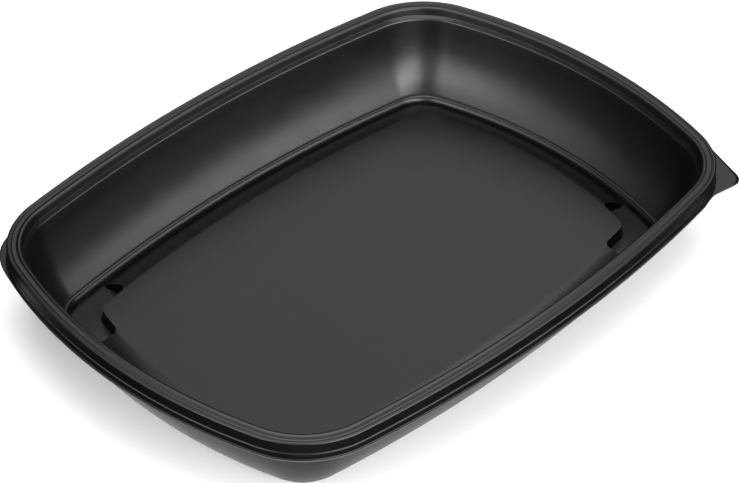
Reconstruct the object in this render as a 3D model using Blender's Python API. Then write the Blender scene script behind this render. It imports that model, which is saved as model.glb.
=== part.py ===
"""Takeaway meal tray, thermoformed from one sheet of black polypropylene.

The sheet is drawn as rings around one bowed outline, from the trimmed edge of
the rim, over the rim and down the wall, to the raised floor panel.
Solidify then gives the sheet its thickness.
"""
import math

import bmesh
import bpy
from mathutils import Vector

# Driving dimensions, in millimetres
MM = 0.001
HALF_LENGTH = 127.5
HALF_WIDTH = 91.4
LONG_SIDE_RADIUS = 584.0
SHORT_SIDE_RADIUS = 201.0
CORNER_RADIUS = 34.2
SHEET = 0.6

# Heights of the sheet's upper side above the surface that the tray rests on
RIM_TOP = 37.8
FLANGE_TOP = 31.0
WALL_FOOT_TOP = 4.3
GROOVE_TOP = 3.65
LEDGE_TOP = 3.85
PANEL_TOP = 5.6
FOOT_TOP = SHEET

# Distances in from the outline, and down from the rim's top
WALL_TOP_IN = 7.0
WALL_TOP_DROP = 5.0
WALL_BEND_IN = 7.25
WALL_BEND_DROP = 8.0
WALL_FOOT_IN = 17.15
GROOVE_IN = 17.6
LEDGE_IN = 18.3
FOOT_OUTER_IN = 20.3
FOOT_IN = 20.9
PANEL_IN = 32.1

# The panel's corners, the run of its steep edge, and how its slope eases out
PANEL_CORNER_RADIUS = 5.0
STEP_RUN = 0.8
RAMP_POWER = 1.7

# The corner pads: where they end along the two sides, and their drafted ends
PAD_END_X = 73.2
PAD_END_Y = 39.4
PAD_MIDDLE_IN = 26.0
PAD_END_DRAFT = 0.8
PAD_LIFT = 0.1

# The trimmed edge: a lip at one corner, and the peel tab at the opposite one,
# whose corners are each given with a radius
FLANGE_OUT = 1.25
LIP_OUT = 2.2
TAB_ROOT_Y = 51.0
TAB_HEEL = (98.5, -83.4, 12.0)
TAB_TIP = (113.3, -86.1, 4.8)
TAB_SHOULDER = (122.2, -62.0, 20.0)
TAB_ARC_PARTS = (2, 4, 2)

# Steps along a quarter of the outline, and down the wall and the slope
SHORT_SIDE_PARTS = 4
PAD_TO_CORNER_PARTS = 3
CORNER_PARTS = 10
LONG_SIDE_PARTS = 5
WALL_PARTS = 6
SLOPE_SHARES = (0.25, 0.5, 0.75)

SMOOTH_UNDER = math.radians(50)
BLACK_PP = (0.035, 0.036, 0.038, 1.0)
SATIN = 0.35


def corner_centre():
    """Centre of the corner arc that is tangent to both bowed sides."""
    long_centre = Vector((0.0, HALF_WIDTH - LONG_SIDE_RADIUS))
    short_centre = Vector((HALF_LENGTH - SHORT_SIDE_RADIUS, 0.0))
    to_long = LONG_SIDE_RADIUS - CORNER_RADIUS
    to_short = SHORT_SIDE_RADIUS - CORNER_RADIUS
    across = short_centre - long_centre
    span = across.length
    unit = across / span
    along = (to_long ** 2 - to_short ** 2 + span ** 2) / (2 * span)
    height = math.sqrt(to_long ** 2 - along ** 2)
    return long_centre + unit * along + Vector((unit.y, -unit.x)) * height


CORNER = corner_centre()
CORNER_FIRST = math.atan2(CORNER.y, CORNER.x - HALF_LENGTH + SHORT_SIDE_RADIUS)
CORNER_LAST = math.atan2(CORNER.y - HALF_WIDTH + LONG_SIDE_RADIUS, CORNER.x)


def steps(first, last, parts):
    """Values from first to last in equal parts, both ends included."""
    return [first + (last - first) * i / parts for i in range(parts + 1)]


def quarter_stations(has_pad):
    """Stations of one quarter as (arc centre, radius, angle, on pad)."""
    short_centre = Vector((HALF_LENGTH - SHORT_SIDE_RADIUS, 0.0))
    long_centre = Vector((0.0, HALF_WIDTH - LONG_SIDE_RADIUS))
    short_r = SHORT_SIDE_RADIUS - PAD_MIDDLE_IN
    long_r = LONG_SIDE_RADIUS - PAD_MIDDLE_IN
    short_end = math.asin(PAD_END_Y / short_r) if has_pad else CORNER_FIRST
    long_end = math.acos(PAD_END_X / long_r) if has_pad else CORNER_LAST
    short = [(angle, False) for angle in steps(0.0, short_end, SHORT_SIDE_PARTS)]
    long = [(angle, False) for angle in steps(long_end, math.pi / 2, LONG_SIDE_PARTS)]
    if has_pad:
        drafted = steps(short_end + PAD_END_DRAFT / short_r, CORNER_FIRST, PAD_TO_CORNER_PARTS)
        short += [(angle, True) for angle in drafted[:-1]]
        long.insert(0, (long_end - PAD_END_DRAFT / long_r, True))
    else:
        short.pop()
        long.pop(0)
    found = [(short_centre, SHORT_SIDE_RADIUS, *station) for station in short]
    for angle in steps(CORNER_FIRST, CORNER_LAST, CORNER_PARTS):
        found.append((CORNER, CORNER_RADIUS, angle, has_pad))
    return found + [(long_centre, LONG_SIDE_RADIUS, *station) for station in long]


def all_stations():
    """Stations around the whole outline, counter-clockwise, with their signs."""
    plain = quarter_stations(False)
    padded = quarter_stations(True)
    loop = [(s, 1, 1) for s in plain]
    loop += [(s, -1, 1) for s in padded[-2::-1]]
    loop += [(s, -1, -1) for s in plain[1:]]
    loop += [(s, 1, -1) for s in padded[-2:0:-1]]
    return loop


def place(station, out):
    """Plan position of a station at a distance out from the outline."""
    (centre, radius, angle, _), sign_x, sign_y = station
    x = centre.x + (radius + out) * math.cos(angle)
    y = centre.y + (radius + out) * math.sin(angle)
    return Vector((sign_x * x, sign_y * y))


def corner_share(station):
    """1 in the middle of a corner, falling smoothly to 0 at the sides."""
    (_, radius, angle, _), _, _ = station
    if radius != CORNER_RADIUS:
        return 0.0
    along = (angle - CORNER_FIRST) / (CORNER_LAST - CORNER_FIRST)
    return math.sin(math.pi * along) ** 2


def rim_profile():
    """Rim from the foot of its skirt to the wall's top, as (out, height)."""
    top = RIM_TOP
    return [(0.75, FLANGE_TOP + 0.1), (0.65, top - 4.7), (0.35, top - 4.4),
            (0.3, top - 0.7), (-0.4, top), (-1.2, top - 0.2), (-2.0, top - 0.08),
            (-3.1, top - 0.2), (-4.0, top + 0.05), (-4.8, top - 0.45),
            (-5.3, top - 3.2), (-6.5, top - 4.05), (-WALL_TOP_IN, top - WALL_TOP_DROP)]


def wall_profile():
    """Hollow wall, one arc that starts in line with the wall's top."""
    top_run = WALL_BEND_IN - WALL_TOP_IN
    top_angle = math.atan2(top_run, WALL_BEND_DROP - WALL_TOP_DROP)
    bend_height = RIM_TOP - WALL_BEND_DROP
    run = WALL_FOOT_IN - WALL_BEND_IN
    drop = bend_height - WALL_FOOT_TOP
    turn = 2 * (math.atan2(run, drop) - top_angle)
    radius = math.hypot(run, drop) / (2 * math.sin(turn / 2))
    points = []
    for angle in steps(top_angle, top_angle + turn, WALL_PARTS):
        inward = radius * (math.cos(top_angle) - math.cos(angle))
        down = radius * (math.sin(angle) - math.sin(top_angle))
        points.append((-WALL_BEND_IN - inward, bend_height - down))
    return points


def ledge_profile():
    """Groove, rounded ledge and the narrow flat that the tray rests on."""
    return [(-GROOVE_IN, GROOVE_TOP), (-LEDGE_IN, LEDGE_TOP), (-19.0, LEDGE_TOP - 0.25),
            (-19.5, LEDGE_TOP - 0.85), (-19.95, LEDGE_TOP - 1.85),
            (-FOOT_OUTER_IN, FOOT_TOP), (-FOOT_IN, FOOT_TOP)]


def wider_corner(station, extra):
    """How a point of a ring moves when the ring's corner radius grows."""
    (_, radius, angle, _), sign_x, sign_y = station
    if radius != CORNER_RADIUS:
        return Vector((0.0, 0.0))
    middle = (CORNER_FIRST + CORNER_LAST) / 2
    back = extra / math.cos(CORNER_LAST - middle)
    x = extra * math.cos(angle) - back * math.cos(middle)
    y = extra * math.sin(angle) - back * math.sin(middle)
    return Vector((sign_x * x, sign_y * y))


def floor_ring(stations, share, is_step):
    """Ring on the slope to the panel: share 0 is its foot and 1 its top."""
    inward = FOOT_IN + (PANEL_IN - FOOT_IN) * share
    slope = FOOT_TOP + (PANEL_TOP - FOOT_TOP) * (1 - (1 - share) ** RAMP_POWER)
    extra = (PANEL_CORNER_RADIUS - CORNER_RADIUS + PANEL_IN) * share
    ring = []
    for station in stations:
        on_pad = station[0][3] and not is_step
        height = FOOT_TOP + PAD_LIFT if on_pad else slope
        ring.append((*(place(station, -inward) + wider_corner(station, extra)), height))
    return ring


def rounded(corners, arc_parts):
    """A line through (x, y, radius) corners, with an arc on each inner one."""
    points = [Vector(corners[0][:2])]
    for before, corner, after, parts in zip(corners, corners[1:], corners[2:], arc_parts):
        point = Vector(corner[:2])
        radius = corner[2]
        back = (Vector(before[:2]) - point).normalized()
        ahead = (Vector(after[:2]) - point).normalized()
        half = back.angle(ahead) / 2
        centre = point + (back + ahead).normalized() * (radius / math.sin(half))
        first = point + back * (radius / math.tan(half)) - centre
        last = point + ahead * (radius / math.tan(half)) - centre
        for share in steps(0.0, 1.0, parts):
            points.append(centre + first.slerp(last, share).normalized() * radius)
    points.append(Vector(corners[-1][:2]))
    return points


def is_on_tab(station):
    """Whether the tab takes up this station's trimmed edge."""
    (_, radius, _, _), sign_x, sign_y = station
    is_root = radius == SHORT_SIDE_RADIUS and place(station, 0.0).y < -TAB_ROOT_Y
    return (sign_x, sign_y) == (1, -1) and (radius == CORNER_RADIUS or is_root)


def flange_ring(stations):
    """The trimmed edge, with the lip at one corner and the tab at another."""
    edge = []
    for station in stations:
        is_lip = station[1:] == (-1, 1)
        edge.append(place(station, FLANGE_OUT + (LIP_OUT * corner_share(station) if is_lip else 0.0)))
    tab = [i for i, station in enumerate(stations) if is_on_tab(station)]
    corners = (edge[tab[0]], TAB_HEEL, TAB_TIP, TAB_SHOULDER, edge[tab[-1]])
    for i, point in zip(tab, rounded(corners, TAB_ARC_PARTS)):
        edge[i] = point
    return [(*point, FLANGE_TOP) for point in edge]


def tray_rings():
    """All rings of the sheet's upper side, from the trimmed edge inwards."""
    stations = all_stations()
    rings = [flange_ring(stations)]
    for out, height in rim_profile() + wall_profile() + ledge_profile():
        rings.append([(*place(station, out), height) for station in stations])
    step_share = 1 - STEP_RUN / (PANEL_IN - FOOT_IN)
    for share in (*SLOPE_SHARES, step_share):
        rings.append(floor_ring(stations, share, False))
    rings.append(floor_ring(stations, 1.0, True))
    return rings


def black_polypropylene():
    """Satin black plastic."""
    material = bpy.data.materials.new("black_polypropylene")
    material.use_nodes = True
    shader = material.node_tree.nodes["Principled BSDF"]
    shader.inputs["Base Color"].default_value = BLACK_PP
    shader.inputs["Roughness"].default_value = SATIN
    shader.inputs["Metallic"].default_value = 0.0
    return material


def make_tray():
    """The tray, one sheet with its thickness below and outside."""
    mesh = bmesh.new()
    rings = []
    for points in tray_rings():
        rings.append([mesh.verts.new(Vector(point) * MM) for point in points])
    for outer, inner in zip(rings, rings[1:]):
        for i, start in enumerate(outer):
            following = (i + 1) % len(outer)
            mesh.faces.new((start, outer[following], inner[following], inner[i]))
    mesh.faces.new(rings[-1])
    data = bpy.data.meshes.new("tray")
    mesh.to_mesh(data)
    mesh.free()
    data.shade_smooth()
    data.set_sharp_from_angle(angle=SMOOTH_UNDER)
    data.materials.append(black_polypropylene())
    tray = bpy.data.objects.new("tray", data)
    bpy.context.scene.collection.objects.link(tray)
    sheet = tray.modifiers.new("sheet", "SOLIDIFY")
    sheet.thickness = SHEET * MM
    sheet.offset = -1.0
    sheet.use_even_offset = True
    sheet.use_rim = True
    return tray


for old in list(bpy.data.objects):
    bpy.data.objects.remove(old, do_unlink=True)
make_tray()
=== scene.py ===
# %% [markdown]
# # A thermoformed meal tray in black polypropylene
#
# The real tray is a plastic sheet that was drawn into a mould and trimmed. It
# could be a block that booleans hollow out, but it is one thin sheet, so it is
# drawn as one: a circle of points becomes the trimmed edge, and every further
# ring is extruded from the ring before it, over the rim, down the wall and
# across the floor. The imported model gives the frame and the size; sizes here
# are millimetres.

# %% The frame
import math

import bmesh
import bpy
from mathutils import Matrix, Vector


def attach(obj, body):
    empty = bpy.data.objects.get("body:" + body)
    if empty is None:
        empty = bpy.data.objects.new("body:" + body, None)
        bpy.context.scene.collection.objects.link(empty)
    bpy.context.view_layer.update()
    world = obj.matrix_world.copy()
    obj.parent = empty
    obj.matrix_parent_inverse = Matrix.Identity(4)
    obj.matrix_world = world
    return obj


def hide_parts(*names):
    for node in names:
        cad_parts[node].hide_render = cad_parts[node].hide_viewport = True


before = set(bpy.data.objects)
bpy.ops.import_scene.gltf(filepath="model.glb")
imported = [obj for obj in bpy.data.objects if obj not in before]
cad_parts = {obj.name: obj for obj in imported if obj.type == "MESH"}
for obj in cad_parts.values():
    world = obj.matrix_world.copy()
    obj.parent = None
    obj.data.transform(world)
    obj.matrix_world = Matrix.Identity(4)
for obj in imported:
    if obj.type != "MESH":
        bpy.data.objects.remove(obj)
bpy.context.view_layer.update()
MM = 0.001

# %% [markdown]
# ## Driving dimensions
#
# The outline has bowed sides, and every ring is a parallel of it. Heights are
# above the table, and distances "in" are from the outline towards the middle.

# %% Dimensions of the outline and heights
HALF_LENGTH = 127.5
HALF_WIDTH = 91.4
LONG_SIDE_RADIUS = 584.0
SHORT_SIDE_RADIUS = 201.0
CORNER_RADIUS = 34.2
SHEET = 0.6

RIM_TOP = 37.8
FOOT_TOP = SHEET
LEDGE_TOP = 3.95
PANEL_TOP = 5.6
FLANGE_TOP = 31.0
FLANGE_OUT = 1.24
LIP_OUT = 2.2
print("outline:", 2 * HALF_LENGTH, "by", 2 * HALF_WIDTH, "mm, rim at", RIM_TOP, "mm")

# %% Dimensions of the panel, the pads and the tab
FOOT_IN = 20.5
PANEL_IN = 32.1
PANEL_CORNER_RADIUS = 5.0
CORNER_ROOM = 4.4
RAMP_POWER = 1.7
STEP_RUN = 0.8
STEP_ZONE = 3.6
PAD_END_X = 73.6
PAD_END_Y = 39.8
PAD_MIDDLE_IN = 26.0
PAD_END_ROUNDING = 2.6
PAD_LIFT = 0.1
# The lift is complete after an eighth of the way from the foot to the panel
PAD_LIFT_QUICKENING = 8

TAB_ROOT_Y = 51.0
# Corners of the tab in plan, each with its radius
TAB_SHOULDER = (122.2, -62.0, 20.0)
TAB_TIP = (113.3, -86.1, 4.8)
TAB_HEEL = (98.5, -83.4, 12.0)
print("panel:", PANEL_IN, "mm in,", round(PANEL_TOP - FOOT_TOP, 2), "mm above the foot")

# %% How many steps each stretch gets
SHORT_SIDE_PARTS = 8
CORNER_PARTS = 22
LONG_SIDE_PARTS = 12
PAD_END_PARTS = 15
PAD_TO_CORNER_PARTS = 2
TAB_ARC_PARTS = 12
WALL_PARTS = 16
RAMP_PARTS = 9
STEP_PARTS = 15
PANEL_PARTS = 5

# %% [markdown]
# ## The outline
#
# The sides bow outwards, which keeps thin walls stiff. A rounded rectangle
# would be simpler, but its highlights would run straight. Here two long arcs
# and a corner arc that is tangent to both make one quarter. A station is a
# point on it, kept as an arc's centre, radius and angle, so a parallel outline
# at any distance needs only another radius.

# %% The corner arc
SHORT_CENTRE = Vector((HALF_LENGTH - SHORT_SIDE_RADIUS, 0.0))
LONG_CENTRE = Vector((0.0, HALF_WIDTH - LONG_SIDE_RADIUS))


def corner_centre():
    """Centre of the corner arc, from where the two inner arcs cross."""
    to_long = LONG_SIDE_RADIUS - CORNER_RADIUS
    to_short = SHORT_SIDE_RADIUS - CORNER_RADIUS
    across = SHORT_CENTRE - LONG_CENTRE
    span = across.length
    along = (to_long ** 2 - to_short ** 2 + span ** 2) / (2 * span)
    unit = across / span
    height = math.sqrt(to_long ** 2 - along ** 2)
    return LONG_CENTRE + unit * along + Vector((unit.y, -unit.x)) * height


CORNER = corner_centre()
CORNER_FIRST = math.atan2(CORNER.y, CORNER.x - HALF_LENGTH + SHORT_SIDE_RADIUS)
CORNER_LAST = math.atan2(CORNER.y - HALF_WIDTH + LONG_SIDE_RADIUS, CORNER.x)
print("corner centre:", CORNER)


# %% The stations of one quarter
def steps(first, last, parts):
    """Values from first to last in equal parts, both ends included."""
    return [first + (last - first) * i / parts for i in range(parts + 1)]


def smooth(t):
    """An S-curve from 0 to 1."""
    t = min(max(t, 0.0), 1.0)
    return t * t * (3 - 2 * t)


def on_short_side(y):
    """A station of the short side, at this distance from its middle."""
    angle = math.asin(y / (SHORT_SIDE_RADIUS - PAD_MIDDLE_IN))
    return SHORT_CENTRE, SHORT_SIDE_RADIUS, angle, y - PAD_END_Y


def on_long_side(x):
    """A station of the long side, at this distance from its middle."""
    angle = math.acos(x / (LONG_SIDE_RADIUS - PAD_MIDDLE_IN))
    return LONG_CENTRE, LONG_SIDE_RADIUS, angle, x - PAD_END_X


def pad_run(pad_end, far_corner):
    """Distances from a pad's end, closely spaced, to just before the corner."""
    run = [pad_end + depth for depth in steps(-STEP_RUN / 2, STEP_ZONE, PAD_END_PARTS)]
    return run + steps(run[-1], far_corner - CORNER_ROOM, PAD_TO_CORNER_PARTS)[1:]


def quarter():
    """Stations of one quarter: (centre, radius, angle, distance into the pad)."""
    far_corner_y = (SHORT_SIDE_RADIUS - PAD_MIDDLE_IN) * math.sin(CORNER_FIRST)
    far_corner_x = (LONG_SIDE_RADIUS - PAD_MIDDLE_IN) * math.cos(CORNER_LAST)
    short_run = pad_run(PAD_END_Y, far_corner_y)
    long_run = pad_run(PAD_END_X, far_corner_x)
    found = [on_short_side(y) for y in steps(0.0, short_run[0], SHORT_SIDE_PARTS)[:-1]]
    found += [on_short_side(y) for y in short_run]
    for angle in steps(CORNER_FIRST, CORNER_LAST, CORNER_PARTS):
        found.append((CORNER, CORNER_RADIUS, angle, HALF_LENGTH))
    found += [on_long_side(x) for x in long_run[::-1]]
    return found + [on_long_side(x) for x in steps(long_run[0], 0.0, LONG_SIDE_PARTS)[1:]]


# %% The stations of the whole outline
def all_stations():
    """Stations round the whole outline, with the signs of their quarter."""
    ahead = quarter()
    back = ahead[::-1]
    loop = [(s, 1, 1) for s in ahead]
    loop += [(s, -1, 1) for s in back[1:]]
    loop += [(s, -1, -1) for s in ahead[1:]]
    loop += [(s, 1, -1) for s in back[1:-1]]
    return loop


def place(station, out):
    """Plan position of a station at a distance out from the outline."""
    (centre, radius, angle, _), sx, sy = station
    x = centre.x + (radius + out) * math.cos(angle)
    y = centre.y + (radius + out) * math.sin(angle)
    return Vector((sx * x, sy * y))


def corner_share(station):
    """1 in the middle of a corner, falling smoothly to 0 at its ends."""
    (_, radius, angle, _), _, _ = station
    if radius != CORNER_RADIUS:
        return 0.0
    t = (angle - CORNER_FIRST) / (CORNER_LAST - CORNER_FIRST)
    return math.sin(math.pi * t) ** 2


STATIONS = all_stations()
print("outline:", len(STATIONS), "stations")

# %% [markdown]
# ## The profile
#
# A cut through the sheet runs from the flange up over the rim, down the hollow
# wall, through a narrow groove and over a rounded ledge to the foot, a sharp
# valley, which is the lowest line of the sheet. A curve with handles could draw
# it. A few corners with a radius each are easier to measure and to change:
# every corner becomes an arc that touches both of its edges.


# %% Rounding a line's corners
def rounded(corners, parts=4):
    """A line through (x, y, radius) corners, each inner one rounded by an arc."""
    points = [Vector(corners[0][:2])]
    for before, here, after in zip(corners, corners[1:], corners[2:]):
        point = Vector(here[:2])
        back = (Vector(before[:2]) - point).normalized()
        ahead = (Vector(after[:2]) - point).normalized()
        half = back.angle(ahead) / 2
        cut = here[2] / math.tan(half)
        axis = (back + ahead).normalized()
        centre = point + axis * (here[2] / math.sin(half))
        first = point + back * cut - centre
        last = point + ahead * cut - centre
        for t in steps(0.0, 1.0, parts):
            spoke = first.slerp(last, t).normalized()
            points.append(centre + spoke * here[2])
    points.append(Vector(corners[-1][:2]))
    return points


# %% The corners of the profile, as (out, height, radius)
RIM = [(1.0, FLANGE_TOP, 0.0), (0.72, FLANGE_TOP, 0.2), (0.65, RIM_TOP - 4.55, 0.2),
       (0.35, RIM_TOP - 4.3, 0.2), (0.3, RIM_TOP, 0.6), (-0.8, RIM_TOP, 0.3),
       (-1.2, RIM_TOP - 0.25, 0.25), (-1.7, RIM_TOP - 0.05, 0.5), (-3.1, RIM_TOP - 0.25, 0.8),
       (-4.0, RIM_TOP + 0.05, 0.5), (-4.95, RIM_TOP - 0.3, 0.6), (-5.35, RIM_TOP - 3.3, 0.25),
       (-6.9, RIM_TOP - 4.4, 1.2), (-7.25, RIM_TOP - 8.0, 0.0)]
WALL_TOP = Vector((-6.95, RIM_TOP - 4.6))
WALL_BEND = Vector((-7.25, RIM_TOP - 8.0))
WALL_FOOT = Vector((-17.1, LEDGE_TOP + 0.3))
LEDGE = [(*WALL_FOOT, 0.0), (-17.55, LEDGE_TOP - 0.3, 0.15), (-18.75, LEDGE_TOP + 0.25, 1.25),
         (-20.15, LEDGE_TOP - 1.5, 4.0), (-FOOT_IN, FOOT_TOP, 0.0)]


def wall_arc(parts):
    """The hollow wall: one arc that starts in line with the wall's top."""
    straight = WALL_BEND - WALL_TOP
    chord = WALL_FOOT - WALL_BEND
    turn = 2 * straight.angle(chord)
    radius = chord.length / (2 * math.sin(turn / 2))
    lean = math.atan2(-straight.x, -straight.y)
    points = []
    for angle in steps(lean, lean + turn, parts)[1:-1]:
        out = radius * (math.cos(lean) - math.cos(angle))
        down = radius * (math.sin(angle) - math.sin(lean))
        points.append(WALL_BEND - Vector((out, down)))
    return points


PROFILE = rounded(RIM) + wall_arc(WALL_PARTS)[:-1] + rounded(LEDGE)
RAMP_INS = steps(FOOT_IN, PANEL_IN - STEP_ZONE, RAMP_PARTS)[1:]
STEP_INS = steps(RAMP_INS[-1], PANEL_IN, STEP_PARTS)[1:]
print("profile:", len(PROFILE), "rings to the foot,", len(RAMP_INS + STEP_INS), "to the panel")

# %% [markdown]
# ## The rings
#
# Most rings are one height all round. The trimmed edge has a lip at one corner
# and the peel tab at the opposite one. The slope up to the panel gets rounder
# corners on its way in, and at two corners a low pad cuts into it. A boolean
# could cut the pads, and would leave ragged faces, so each point of a ring gets
# its own height instead. A pad ends in a narrow step, so stations and rings are
# close together there.


# %% The trimmed edge, with its lip and its tab
def evenly(line, count):
    """Points at even distances along a line of points."""
    lengths = [0.0]
    for a, b in zip(line, line[1:]):
        lengths.append(lengths[-1] + (b - a).length)
    points = []
    piece = 0
    for far in steps(0.0, lengths[-1], count - 1):
        while piece < len(line) - 2 and lengths[piece + 1] < far:
            piece += 1
        run = lengths[piece + 1] - lengths[piece]
        points.append(line[piece].lerp(line[piece + 1], (far - lengths[piece]) / run))
    return points


def is_on_tab(station):
    """Whether the tab takes up this station's trimmed edge."""
    (_, radius, _, _), sx, sy = station
    at_root = radius == SHORT_SIDE_RADIUS and place(station, 0.0).y < -TAB_ROOT_Y
    return (sx, sy) == (1, -1) and (radius == CORNER_RADIUS or at_root)


def trimmed_edge():
    """The sheet's cut edge in plan."""
    edge = []
    for station in STATIONS:
        is_lip = station[1:] == (-1, 1)
        out = FLANGE_OUT + (LIP_OUT * corner_share(station) if is_lip else 0.0)
        edge.append(place(station, out))
    tab = [i for i, station in enumerate(STATIONS) if is_on_tab(station)]
    corners = [(*edge[tab[0]], 0.0), TAB_HEEL, TAB_TIP, TAB_SHOULDER, (*edge[tab[-1]], 0.0)]
    for i, point in zip(tab, evenly(rounded(corners, TAB_ARC_PARTS), len(tab))):
        edge[i] = point
    return edge


EDGE = trimmed_edge()
print("trimmed edge:", sum(is_on_tab(station) for station in STATIONS), "stations on the tab")


# %% The three kinds of ring
def flange_ring(share):
    """A ring on the flange: share 0 is the skirt's foot and 1 the cut edge."""
    ring = []
    for station, end in zip(STATIONS, EDGE):
        point = place(station, RIM[0][0]).lerp(end, share)
        ring.append((*point, FLANGE_TOP))
    return ring


def level_ring(out, height):
    """A ring that is parallel to the outline."""
    return [(*place(station, out), height) for station in STATIONS]


def pad_share(inward, into_pad):
    """1 on a pad and 0 off it, with a narrow step along its rounded outline."""
    across = inward - (PANEL_IN - STEP_RUN / 2) + PAD_END_ROUNDING
    along = PAD_END_ROUNDING - into_pad
    beyond = math.hypot(max(across, 0.0), max(along, 0.0)) + min(max(across, along), 0.0)
    return smooth(0.5 - (beyond - PAD_END_ROUNDING) / STEP_RUN)


def wider_corner(station, extra):
    """How a point of a ring moves when the ring's corner radius grows."""
    (_, radius, angle, _), sx, sy = station
    if radius != CORNER_RADIUS:
        return Vector((0.0, 0.0))
    middle = (CORNER_FIRST + CORNER_LAST) / 2
    back = extra / math.cos(CORNER_LAST - middle)
    x = extra * math.cos(angle) - back * math.cos(middle)
    y = extra * math.sin(angle) - back * math.sin(middle)
    return Vector((sx * x, sy * y))


def floor_ring(inward):
    """A ring on the way up to the panel, at a distance in from the outline."""
    share = (inward - FOOT_IN) / (PANEL_IN - FOOT_IN)
    ramp = FOOT_TOP + (PANEL_TOP - FOOT_TOP) * (1 - (1 - share) ** RAMP_POWER)
    low = FOOT_TOP + PAD_LIFT * smooth(share * PAD_LIFT_QUICKENING)
    extra = share * (PANEL_CORNER_RADIUS - CORNER_RADIUS + PANEL_IN)
    ring = []
    for station in STATIONS:
        has_pad = station[1] * station[2] < 0
        on_pad = pad_share(inward, station[0][3]) if has_pad else 0.0
        point = place(station, -inward) + wider_corner(station, extra)
        ring.append((*point, ramp + (low - ramp) * on_pad))
    return ring


# %% All rings, from the trimmed edge inwards
FLANGE_SHARES = (1.0, 0.8, 0.5, 0.2)
PANEL_SHARES = steps(0.98, 0.02, PANEL_PARTS)

RINGS = [flange_ring(share) for share in FLANGE_SHARES]
RINGS += [level_ring(out, height) for out, height in PROFILE]
RINGS += [floor_ring(inward) for inward in RAMP_INS + STEP_INS]
PANEL_EDGE = RINGS[-1]
RINGS += [[(x * t, y * t, z) for x, y, z in PANEL_EDGE] for t in PANEL_SHARES]
print("rings:", len(RINGS))

# %% [markdown]
# ## The sheet
#
# A circle with one point for each station becomes the trimmed edge. Each next
# ring is an extrusion of the open edge, moved into place, and the panel closes
# the last one. The faces run in rows along the wall, so reflections bend evenly
# round the corners. Both sides could be modelled, but Solidify gives the sheet
# an even thickness, below and outside, and a trimmed edge with its own material.

# %% The sheet's upper side
SHARP_ANGLE = math.radians(32)


def move_ring(verts, points):
    """Move a ring's vertices to their places."""
    for vert, (x, y, z) in zip(verts, points):
        vert.co = Vector((x, y, z)) * MM


def ring_edges(mesh, verts):
    """The edges between a ring's vertices, in order."""
    return [mesh.edges.get(pair) for pair in zip(verts, verts[1:] + verts[:1])]


def next_ring(mesh, verts):
    """Extrude an open ring and give the new vertices in the same order."""
    made = bmesh.ops.extrude_edge_only(mesh, edges=ring_edges(mesh, verts))["geom"]
    new = {v for v in made if isinstance(v, bmesh.types.BMVert)}
    ordered = []
    for vert in verts:
        ordered += [e.other_vert(vert) for e in vert.link_edges if e.other_vert(vert) in new]
    return ordered


def make_sheet():
    """The whole sheet as one mesh, its upper side only."""
    mesh = bmesh.new()
    circle = bmesh.ops.create_circle(mesh, segments=len(STATIONS), radius=HALF_LENGTH * MM)
    verts = circle["verts"]
    move_ring(verts, RINGS[0])
    for points in RINGS[1:]:
        verts = next_ring(mesh, verts)
        move_ring(verts, points)
    panel = bmesh.ops.contextual_create(mesh, geom=ring_edges(mesh, verts))["faces"][0]
    bmesh.ops.recalc_face_normals(mesh, faces=mesh.faces)
    mesh.normal_update()
    if panel.normal.z < 0:
        bmesh.ops.reverse_faces(mesh, faces=mesh.faces)
    data = bpy.data.meshes.new("tray_sheet")
    mesh.to_mesh(data)
    mesh.free()
    data.shade_smooth()
    data.set_sharp_from_angle(angle=SHARP_ANGLE)
    return data


sheet_mesh = make_sheet()
print("sheet:", len(sheet_mesh.vertices), "vertices,", len(sheet_mesh.polygons), "faces")

# %% Its thickness, its body and the solid that it stands for
sheet = bpy.data.objects.new("tray_sheet", sheet_mesh)
bpy.context.scene.collection.objects.link(sheet)
thickness = sheet.modifiers.new("thickness", "SOLIDIFY")
thickness.thickness = SHEET * MM
thickness.offset = -1.0
thickness.use_quality_normals = True
thickness.material_offset_rim = 1
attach(sheet, "root")
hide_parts("tray")
print("thickness:", SHEET, "mm, its rim in material", thickness.material_offset_rim)

# %% [markdown]
# ## Black polypropylene
#
# The sheet is thermoformed polypropylene, coloured black all through. It is
# satin: smooth enough for broad highlights, with a fine grain from the mould
# and slow waves where the sheet was drawn. One even shader could stand for it,
# but then its wide highlights would look like glass, so noise varies the
# surface a little. Patterns use object coordinates, so their scales are real
# sizes.

# %% Colours, nodes and scales
POLYPROPYLENE_IOR = 1.49


def linear(hex_colour):
    """A screen colour as a linear one."""
    channels = [int(hex_colour[i:i + 2], 16) / 255 for i in (1, 3, 5)]
    return [c / 12.92 if c <= 0.04045 else ((c + 0.055) / 1.055) ** 2.4 for c in channels] + [1.0]


def add(tree, kind, settings=None, **links):
    """A node with its settings, linked or set by input name."""
    node = tree.nodes.new("ShaderNode" + kind)
    for name, value in (settings or {}).items():
        setattr(node, name, value)
    for name, value in links.items():
        socket = node.inputs[name.replace("_", " ")]
        if isinstance(value, bpy.types.NodeSocket):
            tree.links.new(value, socket)
        else:
            socket.default_value = value
    return node


def per_metre(feature_mm):
    """Texture scale that gives features of this size."""
    return 1000.0 / feature_mm


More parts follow.
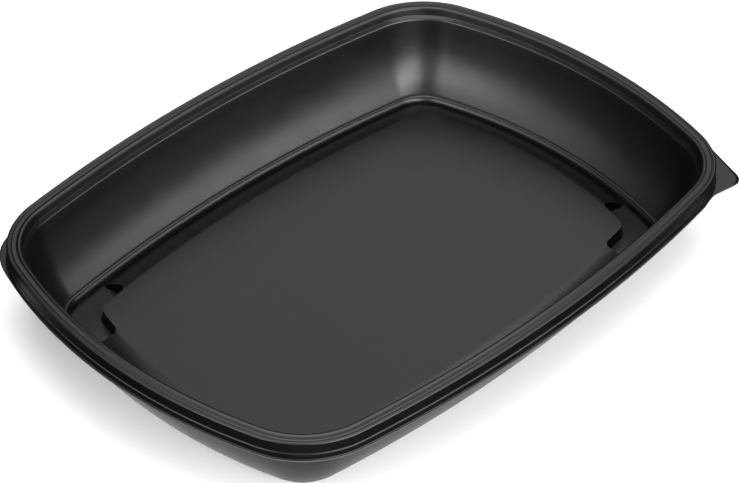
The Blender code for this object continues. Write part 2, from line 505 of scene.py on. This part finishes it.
# %% The sheet's faces
def satin_black():
    """Thermoformed polypropylene: near black, with soft, slightly hazy highlights."""
    material = bpy.data.materials.new("thermoformed_polypropylene")
    material.use_nodes = True
    tree = material.node_tree
    shader = tree.nodes["Principled BSDF"]
    place_in = add(tree, "TexCoord").outputs["Object"]
    # The grain of a mould is under 0.1 mm; 0.5 mm is the finest that shows here
    grain = add(tree, "TexNoise", Vector=place_in, Scale=per_metre(0.5), Detail=3.0)
    waves = add(tree, "TexNoise", Vector=place_in, Scale=per_metre(28.0), Detail=2.0)
    haze = add(tree, "TexNoise", Vector=place_in, Scale=per_metre(9.0), Detail=4.0)
    rough = add(tree, "MapRange", Value=haze.outputs[0],
                From_Min=0.3, From_Max=0.7, To_Min=0.29, To_Max=0.34)
    colour = add(tree, "Mix", {"data_type": "RGBA"}, Factor=waves.outputs[0])
    colour.inputs["A"].default_value = linear("#030304")
    colour.inputs["B"].default_value = linear("#050507")
    slow = add(tree, "Bump", Strength=0.25, Distance=0.0004, Height=waves.outputs[0])
    fine = add(tree, "Bump", Strength=0.2, Distance=0.00003,
               Height=grain.outputs[0], Normal=slow.outputs[0])
    tree.links.new(rough.outputs[0], shader.inputs["Roughness"])
    tree.links.new(colour.outputs["Result"], shader.inputs["Base Color"])
    tree.links.new(fine.outputs[0], shader.inputs["Normal"])
    shader.inputs["IOR"].default_value = POLYPROPYLENE_IOR
    return material


sheet_mesh.materials.append(satin_black())


# %% The trimmed edge
def cut_edge():
    """The same polypropylene where a knife cut it: rougher and a little paler."""
    material = bpy.data.materials.new("trimmed_edge_polypropylene")
    material.use_nodes = True
    tree = material.node_tree
    shader = tree.nodes["Principled BSDF"]
    place_in = add(tree, "TexCoord").outputs["Object"]
    tooth = add(tree, "TexNoise", Vector=place_in, Scale=per_metre(0.8), Detail=3.0)
    colour = add(tree, "Mix", {"data_type": "RGBA"}, Factor=tooth.outputs[0])
    colour.inputs["A"].default_value = linear("#242528")
    colour.inputs["B"].default_value = linear("#4a4b4f")
    bump = add(tree, "Bump", Strength=0.4, Distance=0.0001, Height=tooth.outputs[0])
    tree.links.new(colour.outputs["Result"], shader.inputs["Base Color"])
    tree.links.new(bump.outputs[0], shader.inputs["Normal"])
    shader.inputs["Roughness"].default_value = 0.5
    shader.inputs["IOR"].default_value = POLYPROPYLENE_IOR
    return material


sheet_mesh.materials.append(cut_edge())
print("materials:", [m.name for m in sheet_mesh.materials])

# %% [markdown]
# ## The floor and the table's mirror image
#
# The floor is plain and pale. The tray's outer walls lean over it and mirror
# it, so how bright it looks to them matters. A pale floor alone would look as
# bright under the tray and far away as beside it, so cards that only mirrored
# rays see paint what the walls mirror: a glowing card is a painted reflection
# of the lit table close to the tray, a black card under the tray is a painted
# shadow of the tray on the table, and a black card round them leaves the rest dark.

# %% The floor
FLOOR_HALF_SIZE = 6.0


def make_floor():
    """A plain pale floor."""
    mesh = bmesh.new()
    bmesh.ops.create_grid(mesh, x_segments=1, y_segments=1, size=FLOOR_HALF_SIZE)
    data = bpy.data.meshes.new("floor")
    mesh.to_mesh(data)
    mesh.free()
    floor = bpy.data.objects.new("floor", data)
    material = bpy.data.materials.new("pale_floor")
    material.use_nodes = True
    shader = material.node_tree.nodes["Principled BSDF"]
    shader.inputs["Base Color"].default_value = linear("#fafafa")
    shader.inputs["Roughness"].default_value = 0.9
    shader.inputs["Specular IOR Level"].default_value = 0.1
    data.materials.append(material)
    bpy.context.scene.collection.objects.link(floor)


make_floor()
print("floor:", 2 * FLOOR_HALF_SIZE, "m across")


# %% The cards
def card(name, half_size, height, brightness):
    """A card flat on the floor that only mirrored rays see: a glowing painted reflection, or
    black.
    """
    mesh = bmesh.new()
    bmesh.ops.create_grid(mesh, x_segments=1, y_segments=1, size=1.0)
    bmesh.ops.transform(mesh, matrix=Matrix.Diagonal((*half_size, 1.0, 1.0)), verts=mesh.verts)
    bmesh.ops.translate(mesh, vec=(0.0, 0.0, height), verts=mesh.verts)
    data = bpy.data.meshes.new(name)
    mesh.to_mesh(data)
    mesh.free()
    material = bpy.data.materials.new(name)
    material.use_nodes = True
    shader = material.node_tree.nodes["Principled BSDF"]
    shader.inputs["Base Color"].default_value = (0.0, 0.0, 0.0, 1.0)
    shader.inputs["Specular IOR Level"].default_value = 0.0
    shader.inputs["Emission Color"].default_value = (1.0, 1.0, 1.0, 1.0)
    shader.inputs["Emission Strength"].default_value = brightness
    data.materials.append(material)
    piece = bpy.data.objects.new(name, data)
    piece.visible_camera = False
    piece.visible_diffuse = False
    piece.visible_shadow = False
    piece.visible_transmission = False
    bpy.context.scene.collection.objects.link(piece)


def around_tray(margin):
    """Half the length and width of a card that reaches past the outline, in metres."""
    return HALF_LENGTH * MM + margin, HALF_WIDTH * MM + margin


CARD_GAP = 0.0001
DARK_HALF_SIZE = 0.9
BRIGHT_MARGIN = 0.008
SHADE_MARGIN = -0.036
TABLE_BRIGHTNESS = 0.72
card("dark_surround", (DARK_HALF_SIZE, DARK_HALF_SIZE), CARD_GAP, 0.0)
# A glowing card: a painted reflection of the lit table beside the tray, seen only in the walls
card("painted_table_reflection", around_tray(BRIGHT_MARGIN), 2 * CARD_GAP, TABLE_BRIGHTNESS)
# A black card under the tray: a painted shadow of the tray on the table, seen only in the walls
card("painted_shadow_under", around_tray(SHADE_MARGIN), 3 * CARD_GAP, 0.0)
print("cards: bright to", BRIGHT_MARGIN, "m past the outline")

# %% [markdown]
# ## The camera
#
# It stands where the photograph was taken from, and looks down on one corner.
# A wide lens close by could frame the tray too, but a long one further away
# keeps its sides nearly parallel. The frame's sideways roll is part of the fit.

# %% The camera
VIEW_AZIMUTH = math.radians(42.94)
VIEW_DOWN = math.radians(38.95)
VIEW_ROLL = math.radians(1.34)
VIEW_DISTANCE = 0.91776
VIEW_RISE = -0.01609
FOCAL_PIXELS = 2501.1
PHOTO_WIDTH = 740
SENSOR = 36.0


def heading(azimuth, elevation):
    """The unit vector that points this way."""
    flat = math.cos(elevation)
    return Vector((flat * math.cos(azimuth), flat * math.sin(azimuth), math.sin(elevation)))


def make_camera():
    """The camera, aimed at the middle of the rim's top and raised a little."""
    ahead = heading(VIEW_AZIMUTH, -VIEW_DOWN)
    level = Vector((math.sin(VIEW_AZIMUTH), -math.cos(VIEW_AZIMUTH), 0.0))
    upright = level.cross(ahead)
    right = level * math.cos(VIEW_ROLL) + upright * math.sin(VIEW_ROLL)
    up = upright * math.cos(VIEW_ROLL) - level * math.sin(VIEW_ROLL)
    aim = Vector((0.0, 0.0, RIM_TOP * MM))
    data = bpy.data.cameras.new("camera")
    data.sensor_width = SENSOR
    data.lens = FOCAL_PIXELS * SENSOR / PHOTO_WIDTH
    camera = bpy.data.objects.new("camera", data)
    turn = Matrix((right, up, -ahead)).transposed().to_4x4()
    camera.matrix_world = Matrix.Translation(aim - ahead * VIEW_DISTANCE + up * VIEW_RISE) @ turn
    bpy.context.scene.collection.objects.link(camera)
    bpy.context.scene.camera = camera
    return camera


camera = make_camera()
print("camera lens:", round(camera.data.lens, 1), "mm")

# %% [markdown]
# ## The lights
#
# The tray is black, so what shows is what it reflects: a broad pale field
# behind it for the level faces, a bright one with a wing on the right for the
# hollow of the long wall, the same on the left for the short wall, a soft one
# overhead, and not much behind the camera. An image of a studio could light it,
# but each soft box can be moved on its own until its reflection falls right.


# %% The soft boxes
def softbox(name, azimuth, elevation, distance, size, radiance):
    """A rectangular light that faces the tray, given by how bright it looks."""
    data = bpy.data.lights.new(name, "AREA")
    data.shape = "RECTANGLE"
    data.size, data.size_y = size
    data.energy = radiance * math.pi * size[0] * size[1]
    light = bpy.data.objects.new(name, data)
    away = heading(math.radians(azimuth), math.radians(elevation))
    light.location = away * distance
    light.rotation_euler = away.to_track_quat("Z", "Y").to_euler()
    bpy.context.scene.collection.objects.link(light)


softbox("back_field", 36, 42, 1.5, (1.2, 1.0), 1.02)
softbox("overhead", -40, 86, 1.6, (1.7, 1.7), 3.4)
softbox("right_field", -97, 15, 1.2, (1.15, 0.78), 10.2)
softbox("right_wing", -58, 15, 1.2, (0.52, 0.8), 4.4)
softbox("left_field", 182, 17, 1.2, (0.7, 0.68), 6.4)
softbox("left_wing", 152, 22, 1.2, (0.5, 1.2), 1.9)
softbox("left_edge", 131, 18, 1.2, (0.33, 0.9), 0.6)
softbox("front_field", -141, 20, 1.3, (0.75, 0.8), 1.3)
print("lights:", [light.name for light in bpy.data.lights])

# %% The room
ROOM_BRIGHTNESS = 0.02

world = bpy.data.worlds.new("studio")
world.use_nodes = True
world.node_tree.nodes["Background"].inputs["Color"].default_value = (1.0, 1.0, 1.0, 1.0)
world.node_tree.nodes["Background"].inputs["Strength"].default_value = ROOM_BRIGHTNESS
bpy.context.scene.world = world
bpy.context.scene.view_settings.view_transform = "Standard"
print("room brightness:", ROOM_BRIGHTNESS)
